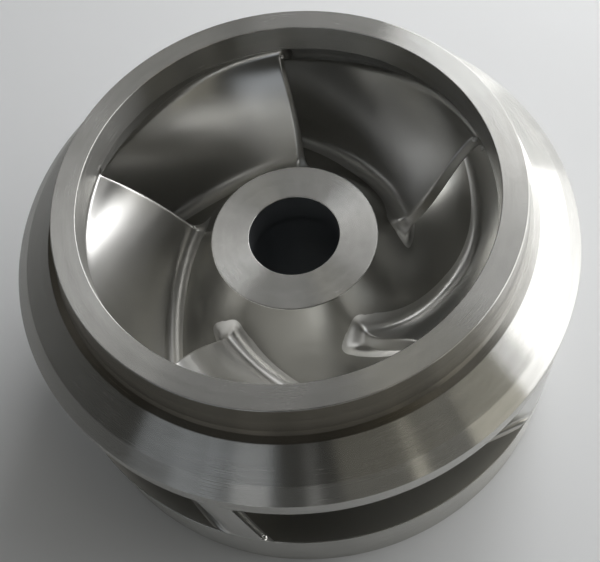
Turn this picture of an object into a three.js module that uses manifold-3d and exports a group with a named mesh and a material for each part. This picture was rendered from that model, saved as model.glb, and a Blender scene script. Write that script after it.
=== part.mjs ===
// A closed five-vane centrifugal pump impeller, standing on its hub plate with the suction eye up.
// Units are millimetres. The origin is at the middle of the bottom face and +Z is the shaft axis.
import * as THREE from 'three';
import { mergeVertices } from 'three/addons/utils/BufferGeometryUtils.js';
import Module from 'manifold-3d';

// Driving sizes
const OUTER_R = 182; // outer radius, turned the same on shroud and hub plate
const HEIGHT = 189; // bottom of the hub plate to the face of the eye ring
const EYE_R = 128.6; // inner radius of the suction eye
const EYE_RING_R = 144; // outer radius of the wear ring at its face
const NECK_R = 148; // where the wear ring ends on the neck of the shroud
const NECK_Z = 169;
const SHOULDER_R = 153.8; // where the neck turns into the cone of the shroud
const SHOULDER_Z = 164.3;
const CHAMFER_R = 173; // where the cone gets steeper, towards the rim
const CHAMFER_Z = 149.5;
const RIM_TOP_Z = 140.2; // turned rim of the shroud
const RIM_BOTTOM_Z = 125.6;
const PLATE_Z = 51; // upper side of the hub plate at the outlet
const HUB_FACE_R = 55;
const HUB_FACE_Z = 132;
const HUB_ROOT_R = 69; // where the turned nose of the hub meets the flared hub surface
const HUB_ROOT_Z = 108.9;
const BORE_R = 30;
const WEB = 17; // thickness of the hub plate over the recess in its back
const REAR_RIM_R = 154; // inner radius of the land that the plate stands on
const REAR_BOSS_R = 58;
const REAR_BOSS_Z = 3; // the rear face of the boss is set back from the land
const CORE_R = 62; // outside of the hub's core, where the plate joins it
const CORE_JOINT_Z = 46;
const EDGE = 0.8; // broken edges

// Vanes: wrap angles in degrees, counted from the leading edge at the shroud
const VANES = 5;
const FIRST_VANE = 11;
const SHROUD_WRAP = 94;
const HUB_WRAP = 101;
const HUB_LAG = 3.8; // the hub end of the vane lies this far back
const VANE_BOW = 7.6; // how far the middle of a vane rises at its leading edge
const LEAD_TOE = 1.15; // the hub end of the leading edge runs ahead of that lag
const LEAD_RISE = -3.2; // the leading edge's own curve along the axis
const LEAD_RISE_SKEW = 10.3; // how that grows towards the shroud
const LEAD_TURN = -0.7; // the same round the axis, in degrees
const LEAD_TURN_SKEW = 2.9;
const LEAD_FADE = 6; // power by which the leading edge's own curve fades behind it
const VANE_LEAD = 8.8; // thickness behind the nose
const VANE_TRAIL = 10.5; // thickness at the outer radius
const PAST_RIM = 1.08; // vanes are cast longer than the rim, then turned off with it

// Fits and fineness
const SEAM = 0.3; // gap between pieces that touch
const VANE_GAP = 0.6; // gap at the ends of the vanes, over the facets of the round pieces
const AROUND = 64;
const ALONG_VANE = 22;
const ACROSS_VANE = 7;
const THROUGH_VANE = 3;

const STEEL = { color: 0xb4b2ab, metalness: 0.95 };
const turned = new THREE.MeshStandardMaterial({ ...STEEL, roughness: 0.3 });
const polished = new THREE.MeshStandardMaterial({ ...STEEL, roughness: 0.22 });
const shadedSteel = new THREE.MeshStandardMaterial({ color: 0x8d8b84, metalness: 0.95, roughness: 0.4 });

const point = (r, z) => new THREE.Vector2(r, z);

// Where the visible side of a vane meets the hub and the shroud, at even steps of its wrap,
// with one step before its leading edge and one past the outer radius
const hubCurve = new THREE.SplineCurve([
  point(60.8, 122.4), point(71.2, 105.3), point(83.2, 87.8), point(98.8, 73.2), point(121, 60.8),
  point(148.5, 52.2), point(OUTER_R, PLATE_Z), point(OUTER_R + 42, PLATE_Z),
]);
const shroudCurve = new THREE.SplineCurve([
  point(128.2, 171.5), point(131.6, 165.3), point(133.8, 159.5), point(135.8, 152.3), point(141.3, 144.7),
  point(155.3, 135.5), point(OUTER_R, RIM_BOTTOM_Z), point(OUTER_R + 40, RIM_BOTTOM_Z - 9),
]);
const WRAP_STEPS = 5; // steps of the curves from the leading edge to the outer radius
const CURVE_STEPS = WRAP_STEPS + 2;

/** A point of a vane curve, with u running from 0 at the leading edge to 1 at the outer radius. */
function along(curve, u) {
  const share = (1 + u * WRAP_STEPS) / CURVE_STEPS;
  return curve.getPoint(THREE.MathUtils.clamp(share, 0, 1));
}

/** The part of a vane curve from u0 to u1 as a list of points. */
function stretch(curve, u0, u1, steps) {
  return Array.from({ length: steps + 1 }, (_, i) => along(curve, u0 + ((u1 - u0) * i) / steps));
}

/** A closed profile turned about the shaft axis. */
function turn(profile) {
  const closed = [...profile, profile[0].clone()];
  const geometry = new THREE.LatheGeometry(closed, AROUND);
  geometry.rotateX(Math.PI / 2); // the axis of a lathe is Y
  return geometry;
}

/** One closed body, with shared corners merged and its faces pointing out. */
function closedBody(geometry) {
  const body = geometry.clone();
  body.deleteAttribute('normal');
  body.deleteAttribute('uv');
  const merged = mergeVertices(body, 1e-4);
  const index = merged.index.array;
  const position = merged.attributes.position;
  const corner = (i) => new THREE.Vector3().fromBufferAttribute(position, i);
  const kept = [];
  let volume = 0;
  for (let i = 0; i < index.length; i += 3) {
    const [a, b, c] = [index[i], index[i + 1], index[i + 2]];
    if (a === b || b === c || c === a) continue;
    kept.push(a, b, c);
    volume += corner(a).dot(corner(b).cross(corner(c)));
  }
  if (volume < 0) {
    for (let i = 0; i < kept.length; i += 3) [kept[i], kept[i + 1]] = [kept[i + 1], kept[i]];
  }
  merged.setIndex(kept);
  return merged;
}

const wasm = await Module();
wasm.setup();

function toSolid(geometry) {
  const body = closedBody(geometry);
  const vertProperties = new Float32Array(body.attributes.position.array);
  const triVerts = new Uint32Array(body.index.array);
  return new wasm.Manifold(new wasm.Mesh({ numProp: 3, vertProperties, triVerts }));
}

function toGeometry(solid) {
  const { vertProperties, triVerts } = solid.getMesh();
  const geometry = new THREE.BufferGeometry();
  geometry.setAttribute('position', new THREE.BufferAttribute(new Float32Array(vertProperties), 3));
  geometry.setIndex(new THREE.BufferAttribute(new Uint32Array(triVerts), 1));
  return geometry;
}

/** 1 at the leading edge and 0 at the outer radius, falling faster with a higher power. */
const ahead = (u, power) => THREE.MathUtils.clamp(1 - u, 0, 1) ** power;

/** 0 at both walls and 1 at mid span. */
const belly = (share) => 4 * share * (1 - share);

/** Point of the stream surface at a share of the span: 0 on the hub, 1 on the shroud. */
function onStream(u, span) {
  const hub = along(hubCurve, u);
  const shroud = along(shroudCurve, u);
  const across = shroud.clone().sub(hub);
  const inset = VANE_GAP / across.length();
  const share = inset + span * (1 - 2 * inset);
  const own = (LEAD_RISE + LEAD_RISE_SKEW * (2 * share - 1)) * ahead(u, LEAD_FADE);
  const rise = (VANE_BOW * ahead(u, 2) + own) * belly(share);
  return point(hub.x + across.x * share, hub.y + across.y * share + rise);
}

/** Azimuth of the visible side of a vane, in radians. */
function wrap(u, span) {
  const hub = HUB_WRAP * u - HUB_LAG + LEAD_TOE * ahead(u, LEAD_FADE);
  const shroud = SHROUD_WRAP * u;
  const own = (LEAD_TURN + LEAD_TURN_SKEW * (2 * span - 1)) * ahead(u, LEAD_FADE);
  return THREE.MathUtils.degToRad(hub + (shroud - hub) * span + own * belly(span));
}

/** Slope of a vane on its stream surface: meridional and tangential travel for one unit of u. */
function slope(u, span) {
  const step = 0.01;
  const here = onStream(u, span);
  const next = onStream(u + step, span);
  const turnBy = wrap(u + step, span) - wrap(u, span);
  return { down: next.distanceTo(here) / step, around: (here.x * turnBy) / step };
}

/** Point of a vane: depth 0 on the visible side, 1 on the hidden side. */
function vanePoint(u, span, depth) {
  const { down, around } = slope(u, span);
  const length = Math.hypot(down, around);
  const behindNose = (u * length) / VANE_LEAD;
  const nose = Math.sqrt(1 - Math.max(0, 1 - 1.6 * behindNose) ** 2);
  const thickness = (VANE_LEAD + (VANE_TRAIL - VANE_LEAD) * u) * Math.max(nose, 0.35);
  const skew = depth - 0.5 + 0.5 * Math.min(1, nose); // the nose is rounded from both sides
  const shift = thickness * skew;
  let deeper = u;
  const parts = 4;
  for (let i = 0; i < parts; i += 1) {
    deeper += ((shift / parts) * (around / length)) / slope(deeper, span).down;
  }
  const place = onStream(deeper, span);
  const azimuth = wrap(u, span) - (shift * (down / length)) / place.x;
  return new THREE.Vector3(place.x * Math.cos(azimuth), place.x * Math.sin(azimuth), place.y);
}

function vaneBody() {
  const geometry = new THREE.BoxGeometry(1, 1, 1, ALONG_VANE, THROUGH_VANE, ACROSS_VANE);
  const position = geometry.attributes.position;
  for (let i = 0; i < position.count; i += 1) {
    const share = position.getX(i) + 0.5;
    const u = PAST_RIM * share ** 1.25; // finer steps near the leading edge
    const place = vanePoint(u, position.getZ(i) + 0.5, position.getY(i) + 0.5);
    position.setXYZ(i, place.x, place.y, place.z);
  }
  const rim = new THREE.CylinderGeometry(OUTER_R - 0.3, OUTER_R - 0.3, 2 * HEIGHT, AROUND);
  rim.rotateX(Math.PI / 2);
  return toGeometry(toSolid(geometry).intersect(toSolid(rim)));
}

const eyeWearRing = () => turn([
  point(EYE_R, NECK_Z + SEAM), point(NECK_R - 0.1, NECK_Z + SEAM), point(EYE_RING_R, HEIGHT - EDGE),
  point(EYE_RING_R - EDGE, HEIGHT), point(EYE_R + EDGE / 2, HEIGHT), point(EYE_R, HEIGHT - EDGE / 2),
]);

const frontShroud = () => turn([
  ...stretch(shroudCurve, 0, 1, 14),
  point(OUTER_R, RIM_TOP_Z),
  point(CHAMFER_R, CHAMFER_Z),
  point(SHOULDER_R, SHOULDER_Z),
  point(NECK_R + 1.6, NECK_Z - 3.1),
  point(NECK_R, NECK_Z),
  point(EYE_R, NECK_Z),
]);

const hubNose = () => turn([
  point(BORE_R, HUB_ROOT_Z + SEAM), point(HUB_ROOT_R - 0.1, HUB_ROOT_Z + SEAM),
  point(HUB_FACE_R, HUB_FACE_Z - EDGE), point(HUB_FACE_R - EDGE, HUB_FACE_Z),
  point(BORE_R + EDGE, HUB_FACE_Z), point(BORE_R, HUB_FACE_Z - EDGE),
]);

const hubCore = () => turn([
  point(BORE_R, HUB_ROOT_Z), point(BORE_R, REAR_BOSS_Z + EDGE), point(BORE_R + EDGE, REAR_BOSS_Z),
  point(REAR_BOSS_R, REAR_BOSS_Z), point(CORE_R, CORE_JOINT_Z), point(CORE_R, HUB_ROOT_Z),
]);

const hubPlate = () => turn([
  ...stretch(hubCurve, 1, 0, 20),
  point(HUB_ROOT_R, HUB_ROOT_Z),
  point(CORE_R + SEAM, HUB_ROOT_Z),
  point(CORE_R + SEAM, CORE_JOINT_Z),
  point(CORE_R + 18, PLATE_Z - WEB),
  point(OUTER_R, PLATE_Z - WEB),
]);

const rearRim = () => turn([
  point(REAR_RIM_R, EDGE), point(REAR_RIM_R + EDGE, 0), point(OUTER_R - EDGE, 0), point(OUTER_R, EDGE),
  point(OUTER_R, PLATE_Z - WEB - SEAM), point(REAR_RIM_R - 6, PLATE_Z - WEB - SEAM),
]);

const impeller = new THREE.Group();

function add(name, geometry, material) {
  const mesh = new THREE.Mesh(closedBody(geometry), material);
  mesh.name = name;
  impeller.add(mesh);
  return mesh;
}

add('eye_wear_ring', eyeWearRing(), turned);
add('front_shroud', frontShroud(), turned);
add('hub_nose', hubNose(), turned);
add('hub_core', hubCore(), turned);
add('hub_plate', hubPlate(), polished);
add('rear_rim', rearRim(), turned);

const vane = vaneBody();
for (let i = 0; i < VANES; i += 1) {
  const mesh = add(`vane_${i + 1}`, vane, i % 2 ? shadedSteel : polished);
  mesh.rotation.z = THREE.MathUtils.degToRad(FIRST_VANE + (360 / VANES) * i);
}

export default impeller;
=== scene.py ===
import math

import bmesh
import bpy
import numpy as np
from mathutils import Matrix, Vector


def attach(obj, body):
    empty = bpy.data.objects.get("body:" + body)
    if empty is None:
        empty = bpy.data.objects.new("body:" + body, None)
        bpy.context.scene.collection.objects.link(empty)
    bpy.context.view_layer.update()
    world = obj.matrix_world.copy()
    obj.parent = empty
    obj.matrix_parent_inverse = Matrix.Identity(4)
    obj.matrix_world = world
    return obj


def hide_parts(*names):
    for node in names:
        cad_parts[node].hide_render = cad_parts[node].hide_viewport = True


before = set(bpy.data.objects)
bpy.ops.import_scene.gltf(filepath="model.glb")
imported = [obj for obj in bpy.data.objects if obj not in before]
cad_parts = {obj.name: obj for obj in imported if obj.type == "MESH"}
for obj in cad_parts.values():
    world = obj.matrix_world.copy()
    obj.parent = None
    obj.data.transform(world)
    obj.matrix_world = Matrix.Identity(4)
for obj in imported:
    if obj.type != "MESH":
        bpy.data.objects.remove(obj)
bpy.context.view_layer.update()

# Sizes of the impeller in millimetres, the same as in the solids
MM = 0.001
OUTER_R = 182
HEIGHT = 189
EYE_R = 128.6
EYE_RING_R = 144
SEAM_R, SEAM_Z = 145.6, 178.6  # where the ring's turned wall steps out
SEAM_OUT, SEAM_IN, SEAM_HALF = 0.5, 0.1, 0.4  # how far the seam stands out below and in above
NECK_R, NECK_Z = 148, 169
NECK_FLARE, NECK_DROP = 1.6, 3.1  # the neck's foot, out and down
SHOULDER_R, SHOULDER_Z = 153.8, 164.3
CHAMFER_R, CHAMFER_Z = 173, 149.5
RIM_TOP_Z = 140.2
RIM_BOTTOM_Z = 125.6
PLATE_Z = 51
HUB_FACE_R, HUB_FACE_Z = 55, 132
HUB_ROOT_R, HUB_ROOT_Z = 69, 108.9
HUB_SPIGOT = 4  # the hub's cone reaches this far into the plate
BORE_R = 30
WEB = 17
REAR_RIM_R = 154
REAR_RIM_DRAFT = 6
REAR_BOSS_R, REAR_BOSS_Z = 58, 3
CORE_R, CORE_JOINT_Z = 62, 46
CORE_FLARE = 18

# Radii of the eased edges
RING_EASE = 0.6
SHROUD_EASE = 0.5
HUB_EASE = 0.7
PLATE_EASE = 0.6

# Vanes: angles in degrees, other sizes in mm
VANES = 5
FIRST_VANE = 11
SHROUD_WRAP = 94
HUB_WRAP = 101
HUB_LAG = 3.8
VANE_BOW = 7.6  # how far the middle of a vane rises at its leading edge, less and less towards the rim
LEAD_TOE = 1.15  # degrees by which the hub end of the leading edge runs ahead
LEAD_RISE, LEAD_RISE_SKEW = -3.2, 10.3  # the leading edge's own curve, and how it grows to the shroud
LEAD_TURN, LEAD_TURN_SKEW = -0.7, 2.9  # the same round the axis, in degrees
LEAD_FADE = 6  # power by which these fade behind the leading edge
VANE_LEAD = 8.8
VANE_TRAIL = 10.5
NOSE_REACH = 0.45  # how far the blunt nose stands out, in half thicknesses
NOSE_BACK = 0.8  # the nose starts this far behind the leading edge
NOSE_BLUNTNESS = 0.5  # power of the nose's round, 1 being an ellipse
TRAIL_GROUND = 4.5  # width of the edge ground off the trailing end
TRAIL_GROUND_BACK = 0.35  # how far it reaches back along the vane, in widths
CUT_R = 181.9  # the vanes are turned off with the rim

# Where a vane meets the hub and the shroud, as (radius, height) at even steps of its wrap, with one step
# before its leading edge and one past the outer radius
HUB_STATIONS = [
    (60.8, 122.4), (71.2, 105.3), (83.2, 87.8), (98.8, 73.2),
    (121, 60.8), (148.5, 52.2), (182, PLATE_Z), (224, PLATE_Z),
]
SHROUD_STATIONS = [
    (128.2, 171.5), (131.6, 165.3), (133.8, 159.5), (135.8, 152.3),
    (141.3, 144.7), (155.3, 135.5), (182, 125.6), (222, 116.6),
]
WRAP_STEPS = 5
BEFORE_LEAD = -1 / WRAP_STEPS
PAST_RIM = 1 + 1 / WRAP_STEPS
HUB_TOP = -0.02  # the hub's flared surface is drawn up to here, in wraps

# Casting fillets
SHROUD_FILLET = 3.5
LEAD_FILLET = 7  # the shroud's fillet grows to this round the leading edge
LEAD_FILLET_REACH = 0.3  # and is back at its own size this far along the wrap
HUB_FILLET = 11
RIM_FILLET = 4  # both fillets change to this at the rim
FILLET_TURN = 0.5  # from this share of the wrap on
SUNK = 1.0  # the vane ends reach this far into the walls

# Beads: azimuth in degrees, radius, height and size in mm
BEADS = [
    (252.2, 179.8, 52.3, 1.9), (83.2, 127.5, 163, 1.8), (11.2, 128, 163.5, 2.0), (6.8, 128.6, 166, 1.6),
    (153.2, 74, 108, 1.3), (152.2, 76.5, 110, 1.1),
]

# Fineness of the meshes
AROUND = 360
EASE_STEPS = 4
FLOW_STEPS = 60
STREAM_STEPS = 700
SEARCH_STEPS = 900
SEARCH_END = PAST_RIM - 0.05  # the cut at the rim is looked for up to here
SIDE_STEPS = 72
SIDE_CROWDING = 1.3  # power that crowds the columns towards the nose
NOSE_STEPS = 16
CUT_STEPS = 6
FILLET_ROWS = 9
MIDDLE_ROWS = 22
BEAD_AROUND, BEAD_RINGS = 24, 16
MERGE_DISTANCE = 0.002
VANE_MERGE_DISTANCE = 0.01


def flow_point(stations, share):
    """Smooth curve through the stations, share running from 0 at the first to 1 at the last."""
    points = np.array(stations, float)
    last = len(points) - 1
    place = np.clip(share, 0, 1) * last
    left = np.clip(np.floor(place).astype(int), 0, last - 1)
    t = (place - left)[..., None]
    before, start = points[np.maximum(left - 1, 0)], points[left]
    end, after = points[left + 1], points[np.minimum(left + 2, last)]
    leaving, arriving = (end - before) / 2, (after - start) / 2
    return ((2 * start - 2 * end + leaving + arriving) * t ** 3
            + (3 * end - 3 * start - 2 * leaving - arriving) * t ** 2 + leaving * t + start)


def wall(stations, u):
    """Radius and height of a passage wall, u running from 0 at the leading edge to 1 at the rim."""
    return flow_point(stations, (1 + np.asarray(u, float) * WRAP_STEPS) / (WRAP_STEPS + 2))


def hub_wall(u):
    return wall(HUB_STATIONS, u)


def shroud_wall(u):
    return wall(SHROUD_STATIONS, u)


# Materials

class Signal:
    """One shader socket. Arithmetic on it adds Math nodes."""

    def __init__(self, finish, socket):
        self.finish = finish
        self.socket = socket

    def _math(self, operation, left, right):
        return self.finish.node("ShaderNodeMath", {"operation": operation}, {0: left, 1: right})

    def __add__(self, other):
        return self._math("ADD", self, other)

    def __radd__(self, other):
        return self._math("ADD", other, self)

    def __sub__(self, other):
        return self._math("SUBTRACT", self, other)

    def __rsub__(self, other):
        return self._math("SUBTRACT", other, self)

    def __mul__(self, other):
        return self._math("MULTIPLY", self, other)

    def __rmul__(self, other):
        return self._math("MULTIPLY", other, self)

    def __truediv__(self, other):
        return self._math("DIVIDE", self, other)

    def __rtruediv__(self, other):
        return self._math("DIVIDE", other, self)

    def __pow__(self, other):
        return self._math("POWER", self, other)

    def __rpow__(self, other):
        return self._math("POWER", other, self)


# Sockets of the Mix node that carry its share and its colours
MIX_SHARE, MIX_LOW, MIX_HIGH, MIX_RESULT = 0, 6, 7, 2


class Finish:
    """A material and the nodes that give its colour, roughness and relief."""

    def __init__(self, name):
        self.material = bpy.data.materials.new(name)
        self.material.use_nodes = True
        self.nodes = self.material.node_tree.nodes
        self.links = self.material.node_tree.links
        self.nodes.clear()

    def node(self, kind, settings=None, inputs=None, output=0):
        """Any node: settings first, then the values or links of its sockets."""
        made = self.nodes.new(kind)
        for name, value in (settings or {}).items():
            setattr(made, name, value)
        for name, value in (inputs or {}).items():
            if isinstance(value, Signal):
                self.links.new(value.socket, made.inputs[name])
            elif made.inputs[name].type == "RGBA":
                made.inputs[name].default_value = (*value, 1)
            else:
                made.inputs[name].default_value = value
        return Signal(self, made.outputs[output])

    def place(self):
        """Object coordinates in metres as three signals."""
        coordinates = self.node("ShaderNodeTexCoord", output="Object")
        split = {"Vector": coordinates}
        return [self.node("ShaderNodeSeparateXYZ", inputs=split, output=axis) for axis in "XYZ"]

    def vector(self, x, y, z):
        return self.node("ShaderNodeCombineXYZ", inputs={"X": x, "Y": y, "Z": z})

    def noise(self, vector, scale, detail=2.0, roughness=0.5):
        sockets = {"Vector": vector, "Scale": scale, "Detail": detail, "Roughness": roughness}
        return self.node("ShaderNodeTexNoise", inputs=sockets)

    def blend(self, share, low, high):
        """A colour between low and high."""
        sockets = {MIX_SHARE: share, MIX_LOW: low, MIX_HIGH: high}
        return self.node("ShaderNodeMix", {"data_type": "RGBA"}, sockets, MIX_RESULT)

    def relief(self, height, depth, strength):
        sockets = {"Height": height, "Distance": depth, "Strength": strength}
        return self.node("ShaderNodeBump", inputs=sockets, output="Normal")

    def surface(self, **sockets):
        names = {name.replace("_", " ").title(): value for name, value in sockets.items()}
        shader = self.node("ShaderNodeBsdfPrincipled", inputs=names)
        end = self.nodes.new("ShaderNodeOutputMaterial")
        self.links.new(shader.socket, end.inputs["Surface"])
        return self.material


STEEL_LIGHT = (0.74, 0.735, 0.71)
STEEL_DARK = (0.44, 0.435, 0.41)
POLISHED_LIGHT = (0.80, 0.795, 0.78)
POLISHED_DARK = (0.66, 0.655, 0.63)
# painted shade: a much darker copy of the polished steel, with nearly the same roughness, for the passage
# walls and the hub's cone, standing in for the shade inside the passages
SHADED_GROUND_LIGHT = (0.38, 0.375, 0.35)
SHADED_GROUND_DARK = (0.31, 0.305, 0.28)
# painted shade: a darker steel in the bore, standing in for the shade of the deep hole
BORE_LIGHT = (0.50, 0.52, 0.54)
BORE_DARK = (0.40, 0.42, 0.44)
# painted shade: a dark brown laid over one side of the turned neck, standing in for the shade and dark
# reflection that fall on that side
PAINTED_SHADE = (0.19, 0.175, 0.145)
SHADE_AZIMUTH = 205  # degrees; the painted shade is darkest on this side of the neck and gone on the other
SHADE_FROM, SHADE_TO = -0.7, 0.3  # cosines between which the painted shade sets in
FLOOR_LIGHT = (0.88, 0.89, 0.90)
FLOOR_DARK = (0.83, 0.84, 0.85)

# How often the lathe's tool marks, bands and patches repeat along the profile, per metre
TOOL_MARKS, BANDS, PATCHES = 2400, 260, 130
FEED_SLOPE = 1.3  # weight of the height, so that the feed grows on faces, cones and cylinders alike
ALONG_THE_MARKS = 0.25  # anisotropic rotation, a quarter turn


def turned_steel(name, shade_one_side=False):
    """Stainless steel off the lathe: fine concentric tool marks and broader bands, and if asked, painted
    shade on one side.
    """
    finish = Finish(name)
    x, y, z = finish.place()
    radius = (x * x + y * y) ** 0.5
    feed = radius - FEED_SLOPE * z
    across, along = x / radius, y / radius
    marks = finish.noise(finish.vector(feed * TOOL_MARKS, across * 1.2, along * 1.2), 1.0, 2.0)
    bands = finish.noise(finish.vector(feed * BANDS, across * 0.6, along * 0.6), 1.0, 2.0)
    patches = finish.noise(finish.vector(feed * PATCHES, across * 6, along * 6), 1.0, 3.0, 0.6)
    smudge = finish.noise(finish.vector(x, y, z), 22.0, 4.0, 0.6)
    tone = finish.blend(bands * 0.3 + patches * 0.5 + smudge * 0.2, STEEL_DARK, STEEL_LIGHT)
    # painted shade: the side facing the shade azimuth is blended towards the dark brown
    if shade_one_side:
        darkest = math.radians(SHADE_AZIMUTH)
        facing = across * math.cos(darkest) + along * math.sin(darkest)
        depth = finish.node("ShaderNodeMapRange", {"interpolation_type": "SMOOTHSTEP"},
                            {"Value": facing + 0.3 * smudge, "From Min": SHADE_FROM, "From Max": SHADE_TO})
        tone = finish.blend(depth, tone, PAINTED_SHADE)
    return finish.surface(
        base_color=tone,
        metallic=1.0,
        roughness=0.23 + 0.03 * marks + 0.04 * smudge,
        anisotropic=1.0,
        anisotropic_rotation=ALONG_THE_MARKS,
        normal=finish.relief(marks, 0.00002, 0.2),
    )


def ground_steel(name, dark, light, base_roughness):
    """Cast passages, ground and polished by hand: soft waves and a fine grain drawn out in height."""
    finish = Finish(name)
    x, y, z = finish.place()
    place = finish.vector(x, y, z)
    waves = finish.noise(place, 38.0, 2.0, 0.45)
    grain = finish.noise(finish.vector(x * 3.0, y * 3.0, z * 0.5), 420.0, 3.0, 0.6)
    smudge = finish.noise(place, 14.0, 4.0, 0.6)
    return finish.surface(
        base_color=finish.blend(smudge, dark, light),
        metallic=1.0,
        roughness=base_roughness + 0.03 * grain + 0.07 * smudge,
        normal=finish.relief(waves + grain * 0.002, 0.0005, 0.1),
    )


def bore_steel(name):
    """The bore: the same steel, dull and hardly polished, its colour darkened as painted shade of the deep
    hole.
    """
    finish = Finish(name)
    x, y, z = finish.place()
    marks = finish.noise(finish.vector(x * 40, y * 40, z * 3000), 1.0, 2.0)
    tone = finish.blend(marks, BORE_DARK, BORE_LIGHT)
    return finish.surface(base_color=tone, metallic=1.0, roughness=0.42 + 0.1 * marks)


def pale_floor(name):
    finish = Finish(name)
    x, y, z = finish.place()
    mottle = finish.noise(finish.vector(x, y, z), 3.0, 3.0)
    return finish.surface(base_color=finish.blend(mottle, FLOOR_DARK, FLOOR_LIGHT), roughness=0.7)


TURNED = turned_steel("turned_stainless_steel")
# the neck's turned steel, darkened on one side by painted shade
NECK = turned_steel("turned_steel_painted_shade", shade_one_side=True)
GROUND = ground_steel("ground_stainless_steel", POLISHED_DARK, POLISHED_LIGHT, 0.25)
# painted shade: the ground steel darkened for the walls inside the passages
SHADED_GROUND = ground_steel("ground_steel_painted_shade", SHADED_GROUND_DARK, SHADED_GROUND_LIGHT, 0.27)
# the bore's steel, darkened by painted shade
BORE = bore_steel("bore_steel_painted_shade")


# Turned pieces

TURNED_SHARP = 32  # degrees past which an edge stays sharp
VANE_SHARP = 50


def smooth(bm):
    for face in bm.faces:
        face.smooth = True


def new_object(name, bm, materials):
    mesh = bpy.data.meshes.new(name)
    bm.to_mesh(mesh)
    bm.free()
    for material in materials:
        mesh.materials.append(material)
    made = bpy.data.objects.new(name, mesh)
    bpy.context.scene.collection.objects.link(made)
    return made


def finished(name, bm, node_names, materials, sharp_angle):
    """Closes a bmesh into a named piece that stands for its solids."""
    bmesh.ops.remove_doubles(bm, verts=bm.verts, dist=MERGE_DISTANCE * MM)
    bmesh.ops.recalc_face_normals(bm, faces=bm.faces)
    smooth(bm)
    for edge in bm.edges:
        if len(edge.link_faces) == 2 and edge.calc_face_angle(0) > math.radians(sharp_angle):
            edge.smooth = False
    piece = new_object(name, bm, materials)
    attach(piece, "root")
    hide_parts(*node_names)
    return piece


def turned_body(profile, edges_eased, radius):
    """A closed profile of (radius, height) in mm, its listed corners eased, spun about the shaft axis."""
    bm = bmesh.new()
    corners = [bm.verts.new((r * MM, 0, z * MM)) for r, z in profile]
    for first, second in zip(corners, corners[1:] + corners[:1]):
        bm.edges.new((first, second))
    eased = [corners[i] for i in edges_eased]
    bmesh.ops.bevel(bm, geom=eased, offset=radius * MM, offset_type="OFFSET", segments=EASE_STEPS,
                    profile=0.5, affect="VERTICES", material=-1)
    bmesh.ops.spin(bm, geom=bm.verts[:] + bm.edges[:], cent=(0, 0, 0), axis=(0, 0, 1),
                   angle=math.tau, steps=AROUND, use_merge=True)
    return bm


def paint(bm, index, is_chosen):
    """Gives the faces whose radius and height is_chosen picks the material at this index."""
    for face in bm.faces:
        centre = face.calc_center_median()
        if is_chosen(math.hypot(centre.x, centre.y) / MM, centre.z / MM):
            face.material_index = index


def turned_piece(name, bm, node_names, finish_and_shade_tests):
    """A turned body with another finish and painted shade where their tests say so, its flat faces kept
    flat.
    """
    materials = [TURNED]
    for material, is_chosen in finish_and_shade_tests:
        paint(bm, len(materials), is_chosen)
        materials.append(material)
    piece = finished(name, bm, node_names, materials, TURNED_SHARP)
    weighted = piece.modifiers.new("flat_faces", "WEIGHTED_NORMAL")
    weighted.keep_sharp = True
    weighted.mode = "FACE_AREA"


# Where each finish and each painted shade begins and ends, in mm from the edges of the turned faces
BORE_MARGIN = 0.1
NECK_MARGIN = 0.1
RIM_MARGIN = 0.9
FACE_MARGIN = 0.7
FLOOR_MARGIN = 1
ROOF_START, ROOF_SLOPE = 0.98 * RIM_BOTTOM_Z, 0.55  # the line over the shroud's passage side


def in_bore(r, z):
    return r < BORE_R + BORE_MARGIN


def in_neck(r, z):
    return EYE_RING_R - NECK_MARGIN < r < SHOULDER_R and SHOULDER_Z < z < HEIGHT - FACE_MARGIN


# the passage's roof and floor and the hub's cone take the steel darkened by painted shade
def in_passage_roof(r, z):
    return z < ROOF_START + (OUTER_R - r) * ROOF_SLOPE and r < OUTER_R - RIM_MARGIN


def in_passage_floor(r, z):
    return z > PLATE_Z - FLOOR_MARGIN and BORE_R + FLOOR_MARGIN < r < OUTER_R - RIM_MARGIN


def on_hub_cone(r, z):
    return z < HUB_FACE_Z - FACE_MARGIN and r > HUB_FACE_R


def eye_ring():
    profile = [
        (EYE_R, NECK_Z), (NECK_R, NECK_Z),
        (SEAM_R + SEAM_OUT, SEAM_Z - SEAM_HALF), (SEAM_R - SEAM_IN, SEAM_Z + SEAM_HALF),
        (EYE_RING_R, HEIGHT), (EYE_R, HEIGHT),
    ]
    bm = turned_body(profile, [4, 5], RING_EASE)
    turned_piece("eye_ring", bm, ["eye_wear_ring"], [(NECK, in_neck)])


def shroud():
    upstream = np.linspace(BEFORE_LEAD, 0, FLOW_STEPS)
    neck = np.interp(-NECK_Z, -shroud_wall(upstream)[:, 1], upstream)
    flow = [tuple(p) for p in shroud_wall(np.linspace(neck, 1, FLOW_STEPS))]
    outside = [
        (OUTER_R, RIM_TOP_Z), (CHAMFER_R, CHAMFER_Z), (SHOULDER_R, SHOULDER_Z),
        (NECK_R + NECK_FLARE, NECK_Z - NECK_DROP), (NECK_R, NECK_Z),
    ]
    rim = len(flow)
    bm = turned_body(flow + outside, [rim - 1, rim, rim + 1, rim + 2], SHROUD_EASE)
    turned_piece("shroud", bm, ["front_shroud"], [(SHADED_GROUND, in_passage_roof), (NECK, in_neck)])


def hub_cone():
    foot_z = HUB_ROOT_Z - HUB_SPIGOT
    profile = [
        (BORE_R, foot_z), (HUB_ROOT_R - HUB_SPIGOT, foot_z), (HUB_ROOT_R, HUB_ROOT_Z),
        (HUB_FACE_R, HUB_FACE_Z), (BORE_R, HUB_FACE_Z),
    ]
    bm = turned_body(profile, [3, 4], HUB_EASE)
    turned_piece("hub_cone", bm, ["hub_nose"], [(BORE, in_bore), (SHADED_GROUND, on_hub_cone)])


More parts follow.
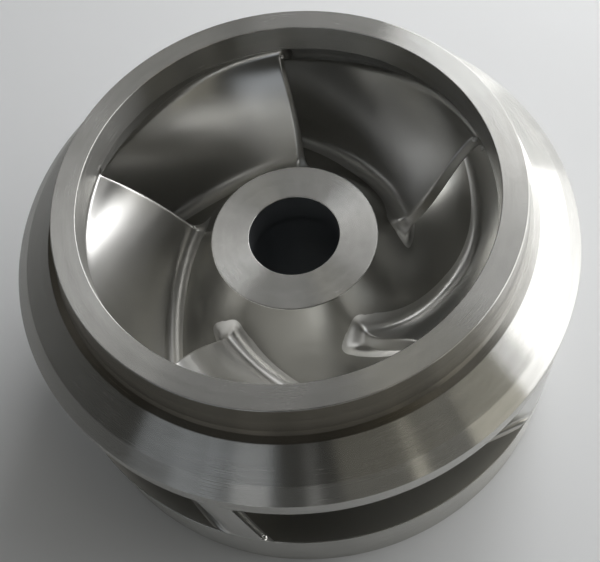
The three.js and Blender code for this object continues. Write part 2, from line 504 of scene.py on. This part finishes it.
def hub_disc():
    web_z = PLATE_Z - WEB
    flow = [tuple(p) for p in hub_wall(np.linspace(1, HUB_TOP, FLOW_STEPS))]
    profile = flow + [
        (HUB_ROOT_R, HUB_ROOT_Z), (BORE_R, HUB_ROOT_Z), (BORE_R, REAR_BOSS_Z), (REAR_BOSS_R, REAR_BOSS_Z),
        (CORE_R, CORE_JOINT_Z), (CORE_R + CORE_FLARE, web_z),
        (REAR_RIM_R - REAR_RIM_DRAFT, web_z), (REAR_RIM_R, 0), (OUTER_R, 0),
    ]
    root = len(flow)
    bm = turned_body(profile, [0, root + 2, root + 3, root + 7, root + 8], PLATE_EASE)
    solids = ["hub_core", "hub_plate", "rear_rim"]
    turned_piece("hub_disc", bm, solids, [(SHADED_GROUND, in_passage_floor), (BORE, in_bore)])


# Vanes

LEAST_LEAN = 0.5  # keeps a fillet's reach bounded where a wall runs nearly along the vane's edge


def fillet_angles():
    return np.linspace(0, math.pi / 2, FILLET_ROWS)


def vane_rows():
    """Rows from hub to shroud: the wall beside them, their place and how full the section is."""
    rows = [("hub", SUNK, 0.0), ("hub", SUNK, 1.0)]
    rows += [("hub_fillet", angle, 1.0) for angle in fillet_angles()]
    rows += [("middle", step / MIDDLE_ROWS, 1.0) for step in range(1, MIDDLE_ROWS)]
    rows += [("shroud_fillet", angle, 1.0) for angle in fillet_angles()[::-1]]
    rows += [("shroud", SUNK, 1.0), ("shroud", SUNK, 0.0)]
    return rows


def unit(vectors):
    return vectors / np.linalg.norm(vectors, axis=-1, keepdims=True)


def lean(edge, direction):
    """Sine of the angle between a passage wall and the lines from hub to shroud."""
    along = unit(np.gradient(edge, axis=0))
    sine = np.abs(along[:, 0] * direction[:, 1] - along[:, 1] * direction[:, 0])
    return np.maximum(sine, LEAST_LEAN)


def fillets(u):
    """Radii of the fillets at the hub and at the shroud."""
    near_rim = np.clip((u - FILLET_TURN) / (1 - FILLET_TURN), 0, 1)
    at_hub = HUB_FILLET + (RIM_FILLET - HUB_FILLET) * near_rim
    near_lead = np.clip(1 - u / LEAD_FILLET_REACH, 0, 1) ** 2
    at_shroud = SHROUD_FILLET + (RIM_FILLET - SHROUD_FILLET) * near_rim
    return at_hub, at_shroud + (LEAD_FILLET - SHROUD_FILLET) * near_lead


def thickness(u):
    return VANE_LEAD + (VANE_TRAIL - VANE_LEAD) * np.clip(u, 0, 1)


class FlowRow:
    """One row of a vane: the stream line that it follows and where its points lie beside that."""

    def __init__(self, kind, place, fullness):
        self.u = np.linspace(BEFORE_LEAD, PAST_RIM, STREAM_STEPS)
        self.fullness = fullness
        share, self.growth = self.stand(kind, place)
        self.follow(share)

    def stand(self, kind, place):
        """The share of the way from hub to shroud, and how much a fillet widens the vane there."""
        hub, roof = hub_wall(self.u), shroud_wall(self.u)
        length = np.linalg.norm(roof - hub, axis=1)
        direction = unit(roof - hub)
        hub_reach = length * lean(hub, direction)
        roof_reach = length * lean(roof, direction)
        hub_fillet, roof_fillet = fillets(self.u)
        first, last = hub_fillet / hub_reach, 1 - roof_fillet / roof_reach
        if kind == "hub":
            return -place / hub_reach, hub_fillet
        if kind == "hub_fillet":
            return first * (1 - math.cos(place)), hub_fillet * (1 - math.sin(place))
        if kind == "middle":
            return first + (last - first) * place, np.zeros_like(self.u)
        if kind == "shroud_fillet":
            return 1 - (1 - last) * (1 - math.cos(place)), roof_fillet * (1 - math.sin(place))
        return 1 + place / roof_reach, roof_fillet

    def follow(self, share):
        """The stream line at this share: radius, height, azimuth, way along the wall and heading."""
        ahead = np.clip(1 - self.u, 0, 1)
        leading = ahead ** LEAD_FADE
        belly = 4 * share * (1 - share)
        skew = 2 * share - 1
        hub = hub_wall(self.u)
        line = hub + (shroud_wall(self.u) - hub) * share[:, None]
        rise = VANE_BOW * ahead ** 2 + (LEAD_RISE + LEAD_RISE_SKEW * skew) * leading
        hub_turn = HUB_WRAP * self.u - HUB_LAG + LEAD_TOE * leading
        turn = hub_turn * (1 - share) + SHROUD_WRAP * self.u * share
        self.r = line[:, 0]
        self.z = line[:, 1] + rise * belly
        self.azimuth = np.radians(turn + (LEAD_TURN + LEAD_TURN_SKEW * skew) * belly * leading)
        self.m = np.concatenate([[0], np.cumsum(np.hypot(np.diff(self.r), np.diff(self.z)))])
        down = np.gradient(self.m, self.u)
        around = self.r * np.gradient(self.azimuth, self.u)
        pace = np.hypot(down, around)
        self.down, self.around = down / pace, around / pace
        self.nose_u = float((NOSE_REACH * VANE_LEAD / 2 + NOSE_BACK) / np.interp(0, self.u, pace))

    def at(self, u, values):
        return np.interp(u, self.u, values)

    def beside(self, u, deeper, forward=0):
        """Points at u, moved deeper towards the hidden side and forward past the nose, in mm."""
        down, around = self.at(u, self.down), self.at(u, self.around)
        m = self.at(u, self.m) + deeper * around - forward * down
        r = np.interp(m, self.m, self.r)
        z = np.interp(m, self.m, self.z)
        azimuth = self.at(u, self.azimuth) - (deeper * down + forward * around) / r
        return np.array([r, azimuth, z])

    def half_width(self, u):
        return (thickness(u) / 2 + self.at(u, self.growth)) * self.fullness

    def side_points(self, sign, u):
        """Points at u on the visible side (sign -1) or the hidden side (+1)."""
        return self.beside(u, thickness(u) / 2 + sign * self.half_width(u))

    def side(self, sign, cut_r):
        """One side of the vane, from the nose to the radius cut_r."""
        u = np.linspace(self.nose_u, SEARCH_END, SEARCH_STEPS)
        r = self.side_points(sign, u)[0]
        beyond = np.argmax(r > cut_r)
        within = beyond - 1
        end = u[within] + (u[beyond] - u[within]) * (cut_r - r[within]) / (r[beyond] - r[within])
        shares = np.linspace(0, 1, SIDE_STEPS + 1) ** SIDE_CROWDING
        return self.side_points(sign, self.nose_u + (end - self.nose_u) * shares)

    def nose(self):
        angle = np.linspace(0, math.pi, NOSE_STEPS + 1)[1:-1]
        half = self.half_width(self.nose_u)
        middle = thickness(self.nose_u) / 2
        reach = half - (1 - NOSE_REACH) * middle * self.fullness
        across = np.sign(np.cos(angle)) * np.abs(np.cos(angle)) ** NOSE_BLUNTNESS
        ahead = np.sin(angle) ** NOSE_BLUNTNESS
        return self.beside(np.full_like(angle, self.nose_u), middle - half * across, reach * ahead)

    def outline(self):
        """The closed outline: visible side, nose, hidden side and the cut with its ground edge."""
        seen = self.side(-1, CUT_R)[:, ::-1]
        hidden = self.side(1, CUT_R - TRAIL_GROUND * TRAIL_GROUND_BACK)
        start, corner = seen[:, :1], self.side(1, CUT_R)[:, -1:]
        width = CUT_R * abs(float(corner[1, 0] - start[1, 0]))
        ground = corner + (start - corner) * TRAIL_GROUND / max(width, 2 * TRAIL_GROUND)
        cut = ground + (start - ground) * np.linspace(0, 1, CUT_STEPS + 1)
        return np.concatenate([seen, self.nose(), hidden, cut], axis=1)


def vane_mesh():
    """A grid wrapped round one vane: its rows run from hub to shroud and its columns round the outline."""
    outlines = np.array([FlowRow(*row).outline() for row in vane_rows()])
    rows, _, columns = outlines.shape
    bm = bmesh.new()
    bmesh.ops.create_grid(bm, x_segments=columns - 1, y_segments=rows - 1, size=0.5)
    for vertex in bm.verts:
        column = round((vertex.co.x + 0.5) * (columns - 1))
        row = round((vertex.co.y + 0.5) * (rows - 1))
        r, azimuth, z = outlines[row, :, column]
        vertex.co = (r * math.cos(azimuth) * MM, r * math.sin(azimuth) * MM, z * MM)
    bmesh.ops.remove_doubles(bm, verts=bm.verts, dist=VANE_MERGE_DISTANCE * MM)
    return bm


def vanes():
    shape = vane_mesh()
    for number in range(VANES):
        bm = shape.copy()
        turn = Matrix.Rotation(math.radians(FIRST_VANE + 360 / VANES * number), 3, "Z")
        bmesh.ops.rotate(bm, verts=bm.verts, cent=(0, 0, 0), matrix=turn)
        name = f"vane_{number + 1}"
        finished(f"{name}_casting", bm, [name], [GROUND], VANE_SHARP)
    shape.free()


def beads():
    """Small beads of metal left on the edges of the casting."""
    bm = bmesh.new()
    for azimuth, r, z, size in BEADS:
        a = math.radians(azimuth)
        place = Vector((r * math.cos(a), r * math.sin(a), z)) * MM
        bmesh.ops.create_uvsphere(bm, u_segments=BEAD_AROUND, v_segments=BEAD_RINGS, radius=size * MM,
                                  matrix=Matrix.Translation(place))
    smooth(bm)
    piece = new_object("casting_beads", bm, [GROUND])
    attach(piece, "root")


eye_ring()
shroud()
hub_cone()
hub_disc()
vanes()
beads()


# Floor, light and camera

FLOOR_HALF = 4.0
LIGHT_DISTANCE = 3.0
AIM_HEIGHT = 0.1  # the lights face this height over the floor
PANEL_SPAN = 20  # degrees that one panel of an arc covers at most
WHITE, WARM, COOL = (1, 1, 1), (1.05, 1, 0.84), (0.94, 1, 1.08)
WORLD_COLOUR, WORLD_BRIGHTNESS = (1.0, 0.98, 0.82), 0.02
# Arcs of soft light: name, azimuth from and to, elevation and height in degrees, brightness, tint
LIGHT_ARCS = [
    ("window_low", -30, 30, 8, 18, 3.3, WHITE),
    ("window_edge", -50, -30, 8, 18, 1.0, WARM),
    ("window_far", 50, 70, 8, 18, 2.0, WHITE),
    ("window_high", -20, 30, 23, 12, 3.0, WHITE),
    ("window_bright", 30, 70, 23, 12, 6.8, WHITE),
    ("window_end", 70, 90, 23, 12, 0.9, WHITE),
    ("window_top", -10, 50, 35, 12, 0.8, WHITE),
    ("window_top_far", 50, 70, 35, 12, 1.5, COOL),
    ("skylight_right", -10, 20, 47, 12, 1.1, WHITE),
    ("skylight", 20, 70, 47, 12, 1.5, WHITE),
    ("skylight_back", 70, 160, 47, 12, 0.5, WHITE),
    ("ceiling", -50, 160, 60, 14, 0.45, WHITE),
    ("overhead_right", -50, 50, 76, 16, 0.4, WARM),
    ("overhead", 50, 310, 78, 18, 0.15, WHITE),
    ("wall_left", 205, 250, 28, 20, 0.4, COOL),
    ("wall_right", 270, 310, 28, 20, 0.2, WARM),
    ("bench_left", 220, 234, 9, 12, 0.35, COOL),
    ("panes_left", 238, 249, 12, 10, 0.9, WHITE),
    ("pane_middle", 260, 264, 12, 10, 0.6, WHITE),
    ("pane_right", 291, 295, 12, 10, 1.4, WARM),
]


def floor():
    bm = bmesh.new()
    bmesh.ops.create_grid(bm, x_segments=1, y_segments=1, size=FLOOR_HALF)
    made = new_object("floor", bm, [pale_floor("pale_floor")])
    return made


def soft_box(name, azimuth, elevation, distance, width, height, power, tint):
    """A large panel light that faces the impeller, azimuth counted from +X towards +Y."""
    light = bpy.data.lights.new(name, "AREA")
    light.shape = "RECTANGLE"
    light.size, light.size_y = width, height
    light.energy = power
    light.color = tint
    made = bpy.data.objects.new(name, light)
    a, e = math.radians(azimuth), math.radians(elevation)
    towards = Vector((math.cos(a) * math.cos(e), math.sin(a) * math.cos(e), math.sin(e)))
    made.location = towards * distance + Vector((0, 0, AIM_HEIGHT))
    made.rotation_euler = towards.to_track_quat("Z", "Y").to_euler()
    made.visible_camera = False
    bpy.context.scene.collection.objects.link(made)
    return made


def light_only(light, lit):
    """Keeps a light to one object."""
    chosen = bpy.data.collections.new(light.name + "_reach")
    chosen.objects.link(lit)
    light.light_linking.receiver_collection = chosen


def seen_size(degrees):
    """Width of a panel that covers this angle from the light's distance."""
    return 2 * LIGHT_DISTANCE * math.tan(math.radians(degrees / 2))


def light_arc(name, first, last, elevation, up, brightness, tint):
    """A row of panels side by side. They all show the same brightness, whatever their size."""
    shrink = math.cos(math.radians(elevation))
    panels = math.ceil((last - first) * shrink / PANEL_SPAN)
    span = (last - first) / panels
    width, height = seen_size(span * shrink), seen_size(up)
    power = math.pi * width * height * brightness
    for number in range(panels):
        azimuth = first + (number + 0.5) * span
        soft_box(f"{name}_{number + 1}", azimuth, elevation, LIGHT_DISTANCE, width, height, power, tint)


def studio(ground):
    world = bpy.data.worlds.new("studio")
    world.use_nodes = True
    background = world.node_tree.nodes["Background"]
    background.inputs["Color"].default_value = (*WORLD_COLOUR, 1)
    background.inputs["Strength"].default_value = WORLD_BRIGHTNESS
    bpy.context.scene.world = world
    bpy.context.scene.view_settings.view_transform = "Standard"
    for arc in LIGHT_ARCS:
        light_arc(*arc)
    wash = soft_box("floor_wash", azimuth=55, elevation=35, distance=1.2, width=0.6, height=0.6,
                    power=3.2, tint=WHITE)
    light_only(wash, ground)


# The camera's place in mm from the foot of the shaft axis, its turns in radians and its focal length
CAMERA_BACK = 307.3
CAMERA_HEIGHT = 615.65
CAMERA_YAW = -0.0064
CAMERA_PITCH = -1.0585
CAMERA_ROLL = -0.1943
FOCAL_PIXELS = 867.67
FRAME_WIDTH = 600
SENSOR_WIDTH = 36


def camera():
    data = bpy.data.cameras.new("camera")
    data.sensor_width = SENSOR_WIDTH
    data.lens = SENSOR_WIDTH * FOCAL_PIXELS / FRAME_WIDTH
    made = bpy.data.objects.new("camera", data)
    made.location = (0, -CAMERA_BACK * MM, CAMERA_HEIGHT * MM)
    turn = (Matrix.Rotation(-CAMERA_YAW, 3, "Z") @ Matrix.Rotation(math.pi / 2 + CAMERA_PITCH, 3, "X")
            @ Matrix.Rotation(CAMERA_ROLL, 3, "Z"))
    made.rotation_euler = turn.to_euler()
    bpy.context.scene.collection.objects.link(made)
    bpy.context.scene.camera = made


studio(floor())
camera()
